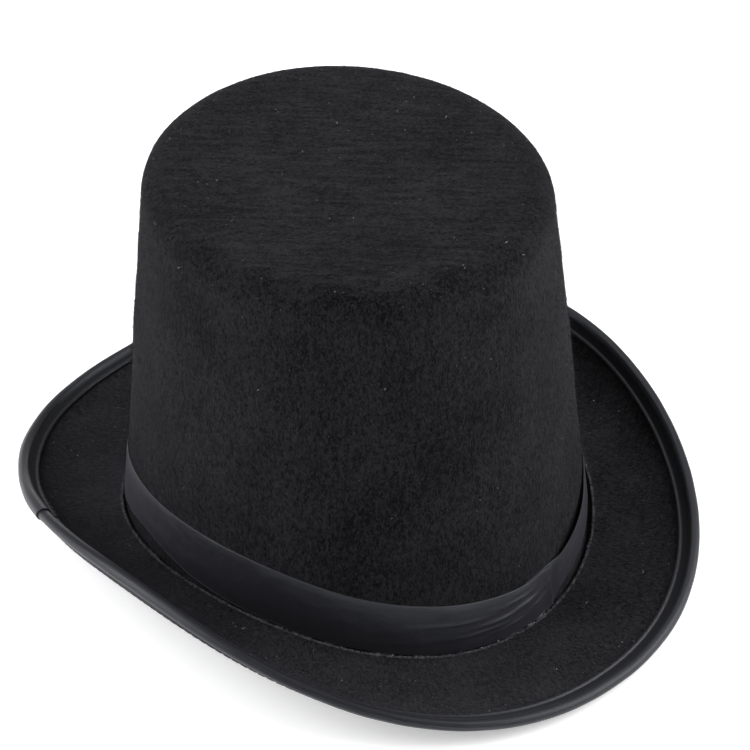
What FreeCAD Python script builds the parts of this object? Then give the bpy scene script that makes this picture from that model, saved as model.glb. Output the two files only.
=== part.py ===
"""A felt top hat: a moulded crown, a separate curled brim, a corded satin edge binding,
a lapped satin band, an inner sweatband, and the threads and glue that join them.

Millimetres. +Z is up, the wearer faces -Y and the wearer's left is +X. The origin is at the
middle of the brim, on the surface that the hat rests on.

Every piece is a section carried round the hat's upright axis. A section is a list of
(radius, height) points in the upright half plane at one angle, and these points are the
control points of a cubic surface. Angles are in degrees, from +X towards +Y.
"""

import FreeCAD, Part
import math
import os

# Crown felt
FOOT_HALF_LENGTH = 99.4  # outside of the wall at its foot, front to back
FOOT_HALF_WIDTH = 92.2
TIP_HALF_LENGTH = 86.0  # outside of the wall just under the rounded top corner
TIP_HALF_WIDTH = 79.2
CROWN_HEIGHT = 164.6  # from the middle level of the brim's lip to the flat top
CROWN_CORNER = 12.7  # outside radius of the top corner
CROWN_FELT = 2.0
FLANGE_FELT = 1.6  # the turned-out foot is pressed thinner
FLANGE_WIDTH = 8.0  # turned-out foot, under the brim
FOOT_SADDLE = 10.9  # foot line's rise at the sides and fall at front and back

# Brim felt
BRIM_HALF_LENGTH = 148.2  # to the centre of the edge cord
BRIM_HALF_WIDTH = 123.6
BRIM_SQUARENESS = 2.14  # exponent of the outline: 2 is an ellipse, more is squarer
BRIM_FELT = 2.2
EDGE_RISE = 7.9  # middle level of the edge cord above the middle level of the lip
EDGE_SADDLE = 18.9  # edge's rise at the sides and fall at front and back
EDGE_FOURTH = 0.9  # fourth-order part of the same curve
CURL_POWER = 4.0  # 1 is a straight slope, more keeps the curl near the edge
BRIM_WALL_GAP = 1.2  # open groove between the crown's wall and the brim's inner edge
LIP_RISE = 0.7  # turned-up inner edge of the brim
LIP_REACH = 3.0

# Edge cord and binding
CORD_RADIUS = 2.0
BINDING_TAPE = 0.45
BINDING_WIDTH = 6.4  # from the cord's centre in to the tape's folded edge
HEM_WIDTH = 1.3  # folded edge, where the tape is double
BINDING_JOINT_ANGLE = 326.5
BINDING_LAP_ANGLE = 3.5
CORD_JOINT_ANGLE = 310.0
CORD_JOINT_GAP = 0.6

# Band and sweatband
BAND_WIDTH = 24.0
BAND_TAPE = 0.45
BAND_RISE = 0.4  # band's lower edge above the brim's lip
BAND_JOINT_ANGLE = 91.0
BAND_LAP_ANGLE = 9.0
SWEATBAND_WIDTH = 28.0
SWEATBAND_TAPE = 0.9
SWEATBAND_RISE = 0.8  # its lower edge above the underside of the flange
SWEATBAND_JOINT_ANGLE = 84.0
SWEATBAND_LAP_ANGLE = 8.0

# Threads and glue
THREAD = 0.45
STITCH_LENGTH = 2.9
STITCH_SPACE = 1.1
SWEATBAND_STITCH_RISE = 3.2  # above the sweatband's lower edge
FOOT_GLUE = 0.3  # film between the flange and the brim
FOOT_GLUE_START = 2.6  # from the wall to the film
FOOT_GLUE_WIDTH = 4.6
GLUE_BEADS = 9
GLUE_BEAD_RADIUS = 0.35
GLUE_SPREAD_ANGLE = 16.0

# Clearances between pieces that lie against each other
FELT_GAP = 0.12
EDGE_GAP = 0.4  # from the tape round the cord to the brim's outer edge
TAPE_GAP = 0.08
THREAD_GAP = 0.12
CORD_GAP = 0.10

RING_STATIONS = 120
DEGREE = 3
LAP_RAMP_ANGLE = 14.0  # length of the slope up on to a lapped end
LAP_END_CLEAR_ANGLE = 1.0  # from a lapped end to the nearest stitch

BRIM_HALF_FELT = BRIM_FELT / 2
TUBE_INNER = CORD_RADIUS + CORD_GAP
TUBE_OUTER = TUBE_INNER + BINDING_TAPE
FLANGE_TOP = -(BRIM_HALF_FELT + 2 * FELT_GAP + FOOT_GLUE)
FLANGE_BOTTOM = FLANGE_TOP - FLANGE_FELT
LIP_TOP = BRIM_HALF_FELT + LIP_RISE
FOOT_LEVEL = FOOT_SADDLE - FLANGE_BOTTOM
LIP_LEVEL = FOOT_LEVEL + LIP_TOP
EDGE_LEVEL = LIP_LEVEL + EDGE_RISE
TIP_LEVEL = LIP_LEVEL + CROWN_HEIGHT
PARTS = "parts"


# ---- the hat's lines, each a function of the angle ----


def sine(angle):
    return math.sin(math.radians(angle))


def cosine(angle):
    return math.cos(math.radians(angle))


def mix(a, b, share):
    return a + (b - a) * share


def oval(half_width, half_length, power, angle):
    """Radius of the oval |x/a|^p + |y/b|^p = 1 in the direction of the angle."""
    x = abs(cosine(angle)) / half_width
    y = abs(sine(angle)) / half_length
    return (x**power + y**power) ** (-1.0 / power)


def foot_radius(angle):
    return oval(FOOT_HALF_WIDTH, FOOT_HALF_LENGTH, 2.0, angle)


def tip_radius(angle):
    return oval(TIP_HALF_WIDTH, TIP_HALF_LENGTH, 2.0, angle)


def edge_radius(angle):
    return oval(BRIM_HALF_WIDTH, BRIM_HALF_LENGTH, BRIM_SQUARENESS, angle)


def foot_height(angle):
    """Height of the middle of the brim's felt where it meets the crown."""
    return FOOT_LEVEL + FOOT_SADDLE * cosine(2 * angle)


def edge_height(angle):
    """Height of the edge cord's centre."""
    return EDGE_LEVEL + EDGE_SADDLE * cosine(2 * angle) + EDGE_FOURTH * cosine(4 * angle)


def wall(angle, share, depth):
    """(radius, height) on the crown's wall: share runs from the foot to the top corner, and
    depth is the distance in from the outer face."""
    radius = mix(foot_radius(angle), tip_radius(angle), share) - depth
    height = mix(foot_height(angle), TIP_LEVEL - CROWN_CORNER, share)
    return radius, height


def wall_share(angle, rise):
    """Share of the wall at a rise above the foot line."""
    return rise / (TIP_LEVEL - CROWN_CORNER - foot_height(angle))


def brim_path(angle, share):
    """(radius, height) of the middle of the brim's felt, from the crown's wall at 0 to the
    edge cord's centre at 1. The height follows a power of the share, so the curl gathers
    towards the edge."""
    radius = mix(foot_radius(angle), edge_radius(angle), share)
    height = mix(foot_height(angle), edge_height(angle), max(share, 0.0) ** CURL_POWER)
    return radius, height


def brim_slope(angle, share):
    """Unit direction outwards along the brim's section."""
    run = edge_radius(angle) - foot_radius(angle)
    climb = edge_height(angle) - foot_height(angle)
    climb *= CURL_POWER * max(share, 0.0) ** (CURL_POWER - 1)
    length = math.hypot(run, climb)
    return run / length, climb / length


def brim_point(angle, share, above):
    """A point at a distance above the middle of the brim's felt, square to its section."""
    radius, height = brim_path(angle, share)
    along, up = brim_slope(angle, share)
    return radius - above * up, height + above * along


def inset_share(angle, inset):
    """Share of the brim's path at a distance in from the edge cord's centre. The path's slope
    halfway there, not at the edge, turns the distance into a share."""
    run = edge_radius(angle) - foot_radius(angle)
    climb = CURL_POWER * (edge_height(angle) - foot_height(angle))
    halfway = 1.0 - 0.5 * inset / math.hypot(run, climb)
    return 1.0 - inset / math.hypot(run, climb * halfway ** (CURL_POWER - 1))


def wall_side_share(angle, distance):
    """Share of the brim's path at a distance out from the crown's wall."""
    return distance / (edge_radius(angle) - foot_radius(angle))


def tube_point(angle, radius, turn):
    """A point on a circle round the edge cord's centre; turn 0 is outwards, 90 is above."""
    centre_radius, centre_height = brim_path(angle, 1.0)
    along, up = brim_slope(angle, 1.0)
    out, above = radius * cosine(turn), radius * sine(turn)
    return centre_radius + out * along - above * up, centre_height + out * up + above * along


# ---- surfaces and solids ----


def place(angle, radius, height):
    return FreeCAD.Vector(radius * cosine(angle), radius * sine(angle), height)


def knots(count, closed):
    """Evenly spaced knots and their multiplicities for a cubic with this many poles."""
    if closed:
        return list(range(count + 1)), [1] * (count + 1)
    spans = count - DEGREE
    return list(range(spans + 1)), [DEGREE + 1] + [1] * (spans - 1) + [DEGREE + 1]


def even_shares(count):
    """Shares from 0 to 1 at which to sample an open cubic's poles, so that it is evenly paced."""
    spans = count - DEGREE
    line = [0] * (DEGREE + 1) + list(range(1, spans)) + [spans] * (DEGREE + 1)
    return [sum(line[i + 1 : i + DEGREE + 1]) / (DEGREE * spans) for i in range(count)]


def carried(section, angles, round_closed, section_closed):
    """The surface of a section carried through the angles."""
    poles = [[place(a, r, h) for r, h in section(a)] for a in angles]
    round_knots, round_mults = knots(len(poles), round_closed)
    side_knots, side_mults = knots(len(poles[0]), section_closed)
    surface = Part.BSplineSurface()
    surface.buildFromPolesMultsKnots(
        poles, round_mults, side_mults, round_knots, side_knots,
        round_closed, section_closed, DEGREE, DEGREE,
    )
    return surface


def closed_solid(faces):
    """One solid from faces that meet along their edges."""
    shell = Part.Shell(Part.makeCompound(faces).Faces)
    if not shell.isClosed():
        sewn = Part.makeCompound(faces)
        sewn.sewShape()
        shell = sewn.Shells[0]
    solid = Part.Solid(shell)
    if solid.Volume < 0:
        solid.reverse()
    return solid


def ring(section):
    """A solid ring: a closed section carried all the way round."""
    angles = [360.0 * i / RING_STATIONS for i in range(RING_STATIONS)]
    return closed_solid([carried(section, angles, True, True).toShape()])


def cup(section):
    """A solid shell: an open section carried all the way round, whose two ends each bound
    a flat face."""
    angles = [360.0 * i / RING_STATIONS for i in range(RING_STATIONS)]
    surface = carried(section, angles, True, False)
    last = surface.bounds()[3]
    ends = [Part.Face(Part.Wire(surface.vIso(v).toShape())) for v in (0, last)]
    return closed_solid([surface.toShape()] + ends)


def strip(section, start, end):
    """A solid strip: a closed section carried from one angle to another, with flat ends.
    The section takes the angle."""
    count = max(8, int(RING_STATIONS * (end - start) / 360.0) + DEGREE)
    angles = [mix(start, end, share) for share in even_shares(count)]
    surface = carried(section, angles, False, True)
    last = surface.bounds()[1]
    ends = [Part.Face(Part.Wire(surface.uIso(u).toShape())) for u in (0, last)]
    return closed_solid([surface.toShape()] + ends)


def round_strip_section(inner, outer):
    """A closed thin section between two faces, each of which maps a share of the strip's
    width to (radius, height). The long edges are softened."""
    rows = 7
    soft = 0.02
    shares = [i / (rows - 1) for i in range(rows)]
    shares[0], shares[-1] = soft, 1.0 - soft
    top = [middle(outer(1.0), inner(1.0), share) for share in (0.25, 0.75)]
    bottom = [middle(inner(0.0), outer(0.0), share) for share in (0.25, 0.75)]
    return [outer(s) for s in shares] + top + [inner(s) for s in reversed(shares)] + bottom


def lapped_strip(section, joint, lap):
    return strip(section, joint, joint + 360.0 + lap)


def middle(a, b, share):
    return mix(a[0], b[0], share), mix(a[1], b[1], share)


# ---- the pieces ----


def crown_section(angle):
    """From the edge of the inner flat top, down the inside, round the turned-out flange and
    up the outside to the edge of the outer flat top."""
    corner_turns = (90, 75, 60, 45, 30, 15, 0)
    flat_start = 4.0
    wall_shares = (0.93, 0.8, 0.65, 0.5, 0.35, 0.22, 0.12)

    def corner(turn, depth):
        bend = CROWN_CORNER - depth
        radius = tip_radius(angle) - CROWN_CORNER + bend * cosine(turn)
        return radius, TIP_LEVEL - CROWN_CORNER + bend * sine(turn)

    def flange(distance, above):
        return brim_point(angle, wall_side_share(angle, distance), above)

    def low_wall(rise, depth):
        return wall(angle, wall_share(angle, rise), depth)

    upper = FLANGE_TOP
    lower = FLANGE_BOTTOM
    bend_low = flange(0.0, lower)[1]
    wall_in = foot_radius(angle) - CROWN_FELT
    flat_radius = tip_radius(angle) - CROWN_CORNER - flat_start
    inside = [(flat_radius, TIP_LEVEL - CROWN_FELT)]
    inside += [corner(t, CROWN_FELT) for t in corner_turns]
    inside += [wall(angle, s, CROWN_FELT) for s in wall_shares]
    inside += [low_wall(lower + 6.0, CROWN_FELT), low_wall(lower + 2.5, CROWN_FELT)]
    inside += [(wall_in + 0.3, bend_low + 0.7)]
    under = [(wall_in + 1.2, bend_low), flange(1.5, lower), flange(4.0, lower)]
    under += [flange(FLANGE_WIDTH - 0.8, lower), flange(FLANGE_WIDTH, lower + 0.5)]
    over = [flange(FLANGE_WIDTH, upper - 0.5), flange(FLANGE_WIDTH - 0.8, upper)]
    over += [flange(4.0, upper), flange(1.5, upper), flange(0.4, upper), low_wall(upper + 0.4, 0.0)]
    over += [low_wall(upper + 2.5, 0.0), low_wall(upper + 6.0, 0.0)]
    outside = [wall(angle, s, 0.0) for s in reversed(wall_shares)]
    outside += [corner(t, 0.0) for t in reversed(corner_turns)]
    return inside + under + over + outside + [(flat_radius, TIP_LEVEL)]


def brim_section(angle):
    """A strip of felt with softened edges, from the turned-up lip at the crown to the cord."""
    soft = 0.5
    half = BRIM_HALF_FELT
    first = wall_side_share(angle, BRIM_WALL_GAP)
    lip_end = wall_side_share(angle, BRIM_WALL_GAP + LIP_REACH)
    last = inset_share(angle, TUBE_INNER + EDGE_GAP)
    step = wall_side_share(angle, soft)
    lip_shares = [mix(first, lip_end, i / 4) for i in range(4)]
    lip_shares[0] += step
    rows = 16
    rest = [1.0 - (1.0 - i / (rows - 1)) ** 1.4 for i in range(rows)]
    shares = lip_shares + [mix(lip_end, last - step, share) for share in rest]

    def lift(share):
        return LIP_RISE * (1 - min((share - first) / (lip_end - first), 1.0)) ** 2

    top = [brim_point(angle, s, half + lift(s)) for s in shares]
    outer_edge = [brim_point(angle, last, above) for above in (half - soft, soft - half)]
    below = [brim_point(angle, s, -half) for s in reversed(shares)]
    inner_edge = [brim_point(angle, first, above) for above in (soft - half, LIP_TOP - soft)]
    return top + outer_edge + below + inner_edge


def cord_section(angle):
    return [tube_point(angle, CORD_RADIUS, turn) for turn in range(0, 360, 30)]


def lap_layer(angle, start):
    """Height of a tape's second layer at an angle past its start: 0 on the first turn,
    rising to 1 where it lies on its own first end."""
    climb = (angle - start - 360.0 + LAP_RAMP_ANGLE) / LAP_RAMP_ANGLE
    climb = min(max(climb, 0.0), 1.0)
    return climb * climb * (3 - 2 * climb)


def binding_lap(angle):
    return lap_layer(angle, BINDING_JOINT_ANGLE) * (2 * BINDING_TAPE + TAPE_GAP)


def binding_section(angle):
    """Tape wrapped round the cord and on to both faces of the felt, ending in folded hems."""
    lap = binding_lap(angle)
    face = BRIM_HALF_FELT + TAPE_GAP + lap
    back = face + BINDING_TAPE
    hem = face + 2 * BINDING_TAPE
    hem_start = BINDING_WIDTH - HEM_WIDTH
    neck = TUBE_OUTER + 0.9

    def at(inset, above):
        return brim_point(angle, inset_share(angle, inset), above)

    upper = [(BINDING_WIDTH, face + 0.15), (BINDING_WIDTH, hem - 0.1), (BINDING_WIDTH - 0.4, hem)]
    upper += [(hem_start, hem), (hem_start - 0.4, back + 0.1), (hem_start - 0.9, back)]
    upper += [(neck, back)]
    lower = [(inset, -above) for inset, above in reversed(upper)]
    outer_turns = (135, 105, 75, 45, 15, -15, -45, -75, -105, -135)
    inner_turns = (-125, -95, -65, -35, 0, 35, 65, 95, 125)
    outside = [at(*p) for p in upper]
    outside += [tube_point(angle, TUBE_OUTER + lap, turn) for turn in outer_turns]
    outside += [at(*p) for p in lower]
    insets = (BINDING_WIDTH - 0.3, mix(BINDING_WIDTH, neck, 0.4), mix(BINDING_WIDTH, neck, 0.8), neck)
    inside = [at(inset, -face) for inset in insets]
    inside += [tube_point(angle, TUBE_INNER + lap, turn) for turn in inner_turns]
    inside += [at(inset, face) for inset in reversed(insets)]
    return outside + inside


def band_section(angle):
    """Ribbon on the outside of the wall. Past a full turn it lies on its own first end."""
    layer = lap_layer(angle, BAND_JOINT_ANGLE) * (BAND_TAPE + TAPE_GAP)

    def face(stand_off):
        def at(share):
            rise = LIP_TOP + BAND_RISE + BAND_WIDTH * share
            return wall(angle, wall_share(angle, rise), -(TAPE_GAP + layer + stand_off))

        return at

    return round_strip_section(face(0.0), face(BAND_TAPE))


def sweatband_section(angle):
    """Tape on the inside of the wall, lapped at the back."""
    layer = lap_layer(angle, SWEATBAND_JOINT_ANGLE) * (SWEATBAND_TAPE + TAPE_GAP)

    def face(stand_off):
        def at(share):
            rise = FLANGE_BOTTOM + SWEATBAND_RISE + SWEATBAND_WIDTH * share
            depth = CROWN_FELT + TAPE_GAP + layer + stand_off
            return wall(angle, wall_share(angle, rise), depth)

        return at

    return round_strip_section(face(SWEATBAND_TAPE), face(0.0))


def stitch(angle, line, side, length):
    """One stitch: a short bar that lies on a surface at a (radius, height) given by line,
    along the seam, and stands off it in the direction of side."""
    step = 0.5
    here = place(angle, *line(angle))
    ahead = place(angle + step, *line(angle + step))
    along = (ahead - here).normalize()
    radial, upward = side(angle)
    out = place(angle, radial, upward).normalize()
    across = out.cross(along).normalize()
    out = along.cross(across)
    bar = Part.makeBox(length, THREAD, THREAD)
    corner = here - along * (length / 2) - across * (THREAD / 2) + out * THREAD_GAP
    bar.Placement = FreeCAD.Placement(corner, FreeCAD.Rotation(along, across, out, "XYZ"))
    return bar


def seam(line, side, start=0.0, end=360.0):
    """Stitches of one length along a line, with even gaps."""
    middle_angle = (start + end) / 2
    first, second = (place(middle_angle + a, *line(middle_angle + a)) for a in (0.0, 1.0))
    per_degree = (second - first).Length
    count = max(1, int((end - start) * per_degree / (STITCH_LENGTH + STITCH_SPACE)))
    pitch = (end - start) / count
    return [stitch(start + pitch * (i + 0.5), line, side, STITCH_LENGTH) for i in range(count)]


def binding_thread():
    """Stitches along the binding's two hems, above and below, that miss only the tape's end."""
    surface = BRIM_HALF_FELT + TAPE_GAP + 2 * BINDING_TAPE
    inset = BINDING_WIDTH - HEM_WIDTH / 2
    start = BINDING_JOINT_ANGLE + BINDING_LAP_ANGLE + LAP_END_CLEAR_ANGLE
    bars = []
    for way in (1, -1):

        def line(angle):
            above = way * (surface + binding_lap(angle))
            return brim_point(angle, inset_share(angle, inset), above)

        def out(angle):
            along, up = brim_slope(angle, inset_share(angle, inset))
            return -way * up, way * along

        bars += seam(line, out, start, start + 360.0 - 2 * LAP_END_CLEAR_ANGLE)
    return Part.makeCompound(bars)


def sweatband_thread():
    """Stitches along the sweatband's lower edge, on its inner face, that miss only its end."""
    rise = FLANGE_BOTTOM + SWEATBAND_RISE + SWEATBAND_STITCH_RISE
    start = SWEATBAND_JOINT_ANGLE + SWEATBAND_LAP_ANGLE + LAP_END_CLEAR_ANGLE

    def line(angle):
        layer = lap_layer(angle, SWEATBAND_JOINT_ANGLE) * (SWEATBAND_TAPE + TAPE_GAP)
        depth = CROWN_FELT + TAPE_GAP + layer + SWEATBAND_TAPE
        return wall(angle, wall_share(angle, rise), depth)

    def inwards(angle):
        return -1.0, 0.0

    return Part.makeCompound(seam(line, inwards, start, start + 360.0 - 2 * LAP_END_CLEAR_ANGLE))


def foot_glue_section(angle):
    """Film of glue between the top of the crown's flange and the underside of the brim."""

    def face(above):
        def at(share):
            distance = FOOT_GLUE_START + FOOT_GLUE_WIDTH * share
            return brim_point(angle, wall_side_share(angle, distance), above)

        return at

    lower = FLANGE_TOP + FELT_GAP
    return round_strip_section(face(lower), face(lower + FOOT_GLUE))


def band_glue():
    """Beads of glue along the groove at the crown's foot, where the band's end is stuck down."""
    beads = []
    for i in range(GLUE_BEADS):
        turn = GLUE_SPREAD_ANGLE * (i / (GLUE_BEADS - 1) - 1)
        angle = BAND_JOINT_ANGLE + BAND_LAP_ANGLE + turn
        size = GLUE_BEAD_RADIUS * (0.8 + 0.4 * (i % 2))
        radius = foot_radius(angle) + BRIM_WALL_GAP / 2
        height = foot_height(angle) + LIP_TOP - GLUE_BEAD_RADIUS
        beads.append(Part.makeSphere(size, place(angle, radius, height)))
    return Part.makeCompound(beads)


def edge_cord():
    """The cord inside the binding, whose two ends almost meet."""
    half_gap = math.degrees(CORD_JOINT_GAP / 2 / edge_radius(CORD_JOINT_ANGLE))
    start = CORD_JOINT_ANGLE + half_gap
    return strip(cord_section, start, start + 360.0 - 2 * half_gap)


def main():
    os.makedirs(PARTS, exist_ok=True)
    pieces = {
        "crown_felt": cup(crown_section),
        "brim_felt": ring(brim_section),
        "foot_glue": ring(foot_glue_section),
        "brim_edge_cord": edge_cord(),
        "brim_binding": lapped_strip(binding_section, BINDING_JOINT_ANGLE, BINDING_LAP_ANGLE),
        "binding_thread": binding_thread(),
        "hat_band": lapped_strip(band_section, BAND_JOINT_ANGLE, BAND_LAP_ANGLE),
        "band_glue": band_glue(),
        "sweatband": lapped_strip(sweatband_section, SWEATBAND_JOINT_ANGLE, SWEATBAND_LAP_ANGLE),
        "sweatband_thread": sweatband_thread(),
    }
    for name, shape in pieces.items():
        box = shape.BoundBox
        size = f"{box.XLength:.1f} x {box.YLength:.1f} x {box.ZLength:.1f}"
        low = f"z {box.ZMin:.2f} to {box.ZMax:.2f}"
        print(f"{name}: {len(shape.Solids)} solids, {size}, {low}, {shape.Volume / 1000:.2f} cm3")
        shape.exportStep(os.path.join(PARTS, name + ".step"))


main()
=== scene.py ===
"""The finished look of a black felt top hat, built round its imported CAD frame.

Lengths in the shape functions are millimetres, and angles are degrees from +X towards +Y.
"""

import math

import bmesh
import bpy
import numpy as np
from mathutils import Matrix, Vector


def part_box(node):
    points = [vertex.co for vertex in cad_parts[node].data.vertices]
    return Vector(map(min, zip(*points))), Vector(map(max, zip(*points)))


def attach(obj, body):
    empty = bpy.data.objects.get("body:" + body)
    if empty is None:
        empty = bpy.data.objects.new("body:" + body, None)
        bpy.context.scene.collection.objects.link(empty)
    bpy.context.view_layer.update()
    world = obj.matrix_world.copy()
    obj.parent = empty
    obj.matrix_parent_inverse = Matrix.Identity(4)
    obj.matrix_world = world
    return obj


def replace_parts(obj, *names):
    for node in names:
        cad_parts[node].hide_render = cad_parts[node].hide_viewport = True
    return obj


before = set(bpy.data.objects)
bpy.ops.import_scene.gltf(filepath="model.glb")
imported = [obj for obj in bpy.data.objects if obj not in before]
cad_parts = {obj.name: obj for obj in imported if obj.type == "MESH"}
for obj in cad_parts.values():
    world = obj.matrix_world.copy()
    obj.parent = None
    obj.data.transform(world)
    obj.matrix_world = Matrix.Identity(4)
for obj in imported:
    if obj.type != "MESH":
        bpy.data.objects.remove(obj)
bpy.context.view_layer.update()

MM = 0.001

# Crown and brim felt
FOOT_HALF_LENGTH, FOOT_HALF_WIDTH = 99.4, 92.2
TIP_HALF_LENGTH, TIP_HALF_WIDTH = 86.0, 79.2
CROWN_CORNER = 12.7
CROWN_FELT = 2.0
FLANGE_FELT = 1.6
FLANGE_WIDTH = 8.0
FOOT_BEND = 1.2
FOOT_SADDLE = 10.9
BRIM_HALF_LENGTH, BRIM_HALF_WIDTH = 148.2, 123.6
BRIM_SQUARENESS = 2.14
BRIM_FELT = 2.2
BRIM_WALL_GAP = 1.2
LIP_RISE = 0.7
EDGE_RISE, EDGE_SADDLE, EDGE_FOURTH = 7.9, 18.9, 0.9
CURL = 4
FLANGE_TOP = -(BRIM_FELT / 2 + 0.54)
TIP_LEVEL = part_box("crown_felt")[1].z / MM
FOOT_LEVEL = FOOT_SADDLE - FLANGE_TOP + FLANGE_FELT
LIP_TOP = BRIM_FELT / 2 + LIP_RISE
LIP_LEVEL = FOOT_LEVEL + LIP_TOP
EDGE_LEVEL = LIP_LEVEL + EDGE_RISE

# Tapes
BAND_WIDTH, BAND_RISE, BAND_TAPE = 24.0, 0.4, 0.18
BAND_JOINT, BAND_LAP = 91.0, 9.0
BINDING_TAPE = 0.38
BINDING_WIDTH = 6.4
HEM_WIDTH = 1.3
CORD_RADIUS = 2.0
TUBE = 2.32
BINDING_JOINT, BINDING_LAP = 326.5, 3.5
SWEATBAND_WIDTH, SWEATBAND_RISE, SWEATBAND_TAPE = 28.0, 0.8, 0.7
SWEATBAND_JOINT, SWEATBAND_LAP = 84.0, 8.0
LAP_RAMP = 14.0
SHADED_ZONE_FADE = 0.0004  # metres, at each side of a tape's zone of painted shade
RIB_SPACING = 0.0009  # metres


# ---- the hat's lines ----


def cosine(angle):
    return np.cos(np.radians(angle))


def sine(angle):
    return np.sin(np.radians(angle))


def mix(a, b, share):
    return a + (b - a) * share


def eased(share):
    """3t^2 - 2t^3 of the share kept between 0 and 1."""
    t = np.clip(share, 0.0, 1.0)
    return t * t * (3 - 2 * t)


def hump(value, centre, width):
    """exp(-((value - centre) / width)^2)."""
    return np.exp(-(((value - centre) / width) ** 2))


def turned(angle, centre):
    """The angle's difference from a centre, from -180 to 180."""
    return (angle - centre + 180.0) % 360.0 - 180.0


def oval(half_width, half_length, power, angle):
    """Radius of |x/a|^p + |y/b|^p = 1 in the direction of the angle."""
    x = np.abs(cosine(angle)) / half_width
    y = np.abs(sine(angle)) / half_length
    return (x**power + y**power) ** (-1.0 / power)


def foot_radius(angle):
    return oval(FOOT_HALF_WIDTH, FOOT_HALF_LENGTH, 2.0, angle)


def tip_radius(angle):
    return oval(TIP_HALF_WIDTH, TIP_HALF_LENGTH, 2.0, angle)


def edge_radius(angle):
    return oval(BRIM_HALF_WIDTH, BRIM_HALF_LENGTH, BRIM_SQUARENESS, angle)


def foot_height(angle):
    return FOOT_LEVEL + FOOT_SADDLE * cosine(2 * angle)


def edge_height(angle):
    return EDGE_LEVEL + EDGE_SADDLE * cosine(2 * angle) + EDGE_FOURTH * cosine(4 * angle)


def wall(angle, rise, depth):
    """(radius, height) of the crown's wall: a straight line in each section from the foot to
    the top corner, moved in by the depth."""
    full = TIP_LEVEL - CROWN_CORNER - foot_height(angle)
    radius = mix(foot_radius(angle), tip_radius(angle), rise / full) - depth
    return radius, foot_height(angle) + rise


def brim_point(angle, share, above):
    """(radius, height) of the brim: the radius runs evenly from the wall to the edge cord, the
    height with the fourth power of the share, and the point stands square off that curve."""
    share = np.maximum(share, 0.0)
    run = edge_radius(angle) - foot_radius(angle)
    climb = edge_height(angle) - foot_height(angle)
    slope = CURL * climb * share ** (CURL - 1)
    length = np.hypot(run, slope)
    along, up = run / length, slope / length
    radius = foot_radius(angle) + run * share
    height = foot_height(angle) + climb * share**CURL
    return radius - above * up, height + above * along


def inset_share(angle, inset):
    """Share of the brim's width at a distance in from the edge cord's centre."""
    run = edge_radius(angle) - foot_radius(angle)
    climb = CURL * (edge_height(angle) - foot_height(angle))
    halfway = 1.0 - 0.5 * inset / np.hypot(run, climb)
    return 1.0 - inset / np.hypot(run, climb * halfway ** (CURL - 1))


def wall_side_share(angle, distance):
    return distance / (edge_radius(angle) - foot_radius(angle))


def in_space(angle, radius, height):
    """Points of a section at an angle: (r cos a, r sin a, h)."""
    return np.stack([radius * cosine(angle), radius * sine(angle), height + 0 * angle], axis=-1)


def slow_waves(points, seed, lengths, count=14):
    """The mean of plane waves sin(k.p + phase), in random directions, with wavelengths from a
    range in millimetres. It lies between -1 and 1."""
    dice = np.random.default_rng(seed)
    way = dice.normal(size=(count, 3))
    way /= np.linalg.norm(way, axis=1, keepdims=True)
    k = way * (2 * np.pi / dice.uniform(*lengths, size=(count, 1)))
    return np.sin(points @ k.T + dice.uniform(0, 2 * np.pi, count)).sum(-1) / math.sqrt(count) / 1.6


# ---- meshes ----


def finish_mesh(name, mesh, material):
    """A smooth piece from a mesh, riding the hat."""
    mesh.materials.append(material)
    piece = bpy.data.objects.new(name, mesh)
    bpy.context.scene.collection.objects.link(piece)
    mesh.polygons.foreach_set("use_smooth", np.ones(len(mesh.polygons), bool))
    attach(piece, "root")
    return piece


def skin(name, points, uv, material, outwards=None):
    """A mesh over a grid of points (rows, columns, 3) in millimetres, with that grid's uv in
    metres. Edges that meet are merged, so rings and poles close. An open sheet names the
    outwards function that its faces follow."""
    rows, columns = points.shape[:2]
    index = np.arange(rows * columns).reshape(rows, columns)
    corners = [index[:-1, :-1], index[1:, :-1], index[1:, 1:], index[:-1, 1:]]
    faces = np.stack(corners, axis=-1).reshape(-1, 4)
    mesh = bpy.data.meshes.new(name)
    mesh.from_pydata((points.reshape(-1, 3) * MM).tolist(), [], faces.tolist())
    layer = mesh.uv_layers.new(name="UVMap")
    layer.data.foreach_set("uv", uv.reshape(-1, 2)[faces.ravel()].ravel())
    close_seams(mesh, 2e-6, outwards)
    return finish_mesh(name, mesh, material)


def close_seams(mesh, distance, outwards=None):
    """Merge points within a distance in metres and make the faces agree. An open sheet also
    takes the side that its outwards function gives for a point."""
    work = bmesh.new()
    work.from_mesh(mesh)
    bmesh.ops.remove_doubles(work, verts=work.verts, dist=distance)
    bmesh.ops.recalc_face_normals(work, faces=work.faces)
    if outwards is not None:
        work.faces.ensure_lookup_table()
        sample = work.faces[len(work.faces) // 2]
        if sample.normal.dot(Vector(outwards(sample.calc_center_median()))) < 0:
            bmesh.ops.reverse_faces(work, faces=work.faces)
    work.to_mesh(mesh)
    work.free()


def thicken(piece, thickness):
    """Give a sheet its thickness, half to each side."""
    tape = piece.modifiers.new("thickness", "SOLIDIFY")
    tape.thickness = thickness * MM
    tape.offset = 0.0
    return piece


def from_axis(point):
    """Direction straight out from the hat's upright axis."""
    return (point.x, point.y, 0.0)


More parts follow.
